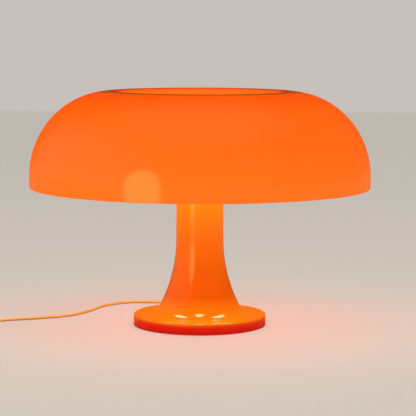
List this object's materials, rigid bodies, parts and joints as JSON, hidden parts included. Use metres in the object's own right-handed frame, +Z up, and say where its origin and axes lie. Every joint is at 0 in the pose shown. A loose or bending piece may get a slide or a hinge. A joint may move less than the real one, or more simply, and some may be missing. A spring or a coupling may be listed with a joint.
{
  "type": "mushroom table lamp",
  "caption": "Table lamp with a wide domed shade that dips into a bowl at the top, a flared stem in one with its round foot, and globe bulbs round the stem.",
  "frame": {"origin": "on the surface it stands on, at the axis of the stem", "axes": "+Z up along the stem, front is -Y, the cord leaves the foot at +Y"},
  "size_m": [0.4255, 0.32, 0.2213],
  "materials": {
    "orange_abs": "glossy moulded ABS",
    "shade_abs": "glossy translucent moulded ABS",
    "ballast_iron": "rough casting",
    "cover_board": "matt",
    "steel": "zinc plated",
    "rubber": "matt",
    "clear_pvc": "clear soft PVC over pale cores",
    "white_plastic": "satin",
    "rocker_plastic": "glossy",
    "chrome": "polished",
    "brass": "plain",
    "wire_pvc": "matt",
    "holder_plastic": "moulded",
    "solder": "tinned",
    "cap_brass": "nickel plated brass",
    "opal_glass": "opal"
  },
  "bodies": {
    "lamp": {"stem_and_foot": "orange_abs", "shade": "shade_abs", "base_ballast": "ballast_iron", "base_cover": "cover_board", "base_cover_screws": "steel", "cord_clamp_screws": "steel", "terminal_screws": "steel", "tie_rod": "steel", "tie_rod_nuts": "steel", "tie_rod_washers": "steel", "lamp_carrier": "steel", "holder_nipples": "steel", "holder_nuts": "steel", "switch_screws": "steel", "switch_rocker_pin": "steel", "foot_pads": "rubber", "shade_gaskets": "rubber", "cord_grommet": "clear_pvc", "inner_lead": "clear_pvc", "cord_to_switch": "clear_pvc", "cord_from_switch": "clear_pvc", "cord_coil": "clear_pvc", "cord_clamp": "white_plastic", "terminal_ring": "white_plastic", "shade_support": "white_plastic", "switch_base": "white_plastic", "switch_cover": "white_plastic", "plug_body": "white_plastic", "shade_cap_disc": "white_plastic", "switch_terminals": "brass", "plug_prongs": "brass", "holder_wires": "wire_pvc", "holder_body_right": "holder_plastic", "holder_shell_right": "brass", "holder_contact_right": "brass", "holder_body_back": "holder_plastic", "holder_shell_back": "brass", "holder_contact_back": "brass", "holder_body_left": "holder_plastic", "holder_shell_left": "brass", "holder_contact_left": "brass", "holder_body_front": "holder_plastic", "holder_shell_front": "brass", "holder_contact_front": "brass"},
    "bulb_thread_right": {"bulb_tip_right": "solder"},
    "bulb_right": {"bulb_cap_right": "cap_brass", "bulb_glass_right": "opal_glass"},
    "bulb_thread_back": {"bulb_tip_back": "solder"},
    "bulb_back": {"bulb_cap_back": "cap_brass", "bulb_glass_back": "opal_glass"},
    "bulb_thread_left": {"bulb_tip_left": "solder"},
    "bulb_left": {"bulb_cap_left": "cap_brass", "bulb_glass_left": "opal_glass"},
    "bulb_thread_front": {"bulb_tip_front": "solder"},
    "bulb_front": {"bulb_cap_front": "cap_brass", "bulb_glass_front": "opal_glass"},
    "knob_thread": {"knob_insert": "brass"},
    "knob_body": {"knob": "chrome"},
    "rocker": {"switch_rocker": "rocker_plastic"}
  },
  "joints": [
    {"name": "bulb_right_travel", "type": "slide", "parent": "lamp", "child": "bulb_thread_right", "axis": [1, 0, 0], "range_m": [0, 0.00848]},
    {"name": "bulb_right_turn", "type": "hinge", "parent": "bulb_thread_right", "child": "bulb_right", "pos_m": [0, 0, 0.158], "axis": [1, 0, 0], "range_deg": [0, 1080]},
    {"name": "bulb_back_travel", "type": "slide", "parent": "lamp", "child": "bulb_thread_back", "axis": [0, 1, 0], "range_m": [0, 0.00848]},
    {"name": "bulb_back_turn", "type": "hinge", "parent": "bulb_thread_back", "child": "bulb_back", "pos_m": [0, 0, 0.158], "axis": [0, 1, 0], "range_deg": [0, 1080]},
    {"name": "bulb_left_travel", "type": "slide", "parent": "lamp", "child": "bulb_thread_left", "axis": [-1, 0, 0], "range_m": [0, 0.00848]},
    {"name": "bulb_left_turn", "type": "hinge", "parent": "bulb_thread_left", "child": "bulb_left", "pos_m": [0, 0, 0.158], "axis": [-1, 0, 0], "range_deg": [0, 1080]},
    {"name": "bulb_front_travel", "type": "slide", "parent": "lamp", "child": "bulb_thread_front", "axis": [0, -1, 0], "range_m": [0, 0.00848]},
    {"name": "bulb_front_turn", "type": "hinge", "parent": "bulb_thread_front", "child": "bulb_front", "pos_m": [0, 0, 0.158], "axis": [0, -1, 0], "range_deg": [0, 1080]},
    {"name": "knob_travel", "type": "slide", "parent": "lamp", "child": "knob_thread", "axis": [0, 0, 1], "range_m": [0, 0.00627]},
    {"name": "knob_turn", "type": "hinge", "parent": "knob_thread", "child": "knob_body", "pos_m": [0, 0, 0.19], "axis": [0, 0, 1], "range_deg": [0, 1800]},
    {"name": "switch_rock", "type": "hinge", "parent": "lamp", "child": "rocker", "pos_m": [-0.216, -0.062, 0.0142], "axis": [1, 0, 0], "range_deg": [-16, 0]}
  ],
  "couplings": [
    {"joint": "bulb_right_travel", "follows": "bulb_right_turn", "m_per_rad": 0.00044882},
    {"joint": "bulb_back_travel", "follows": "bulb_back_turn", "m_per_rad": 0.00044882},
    {"joint": "bulb_left_travel", "follows": "bulb_left_turn", "m_per_rad": 0.00044882},
    {"joint": "bulb_front_travel", "follows": "bulb_front_turn", "m_per_rad": 0.00044882},
    {"joint": "knob_travel", "follows": "knob_turn", "m_per_rad": 0.00019894}
  ]
}
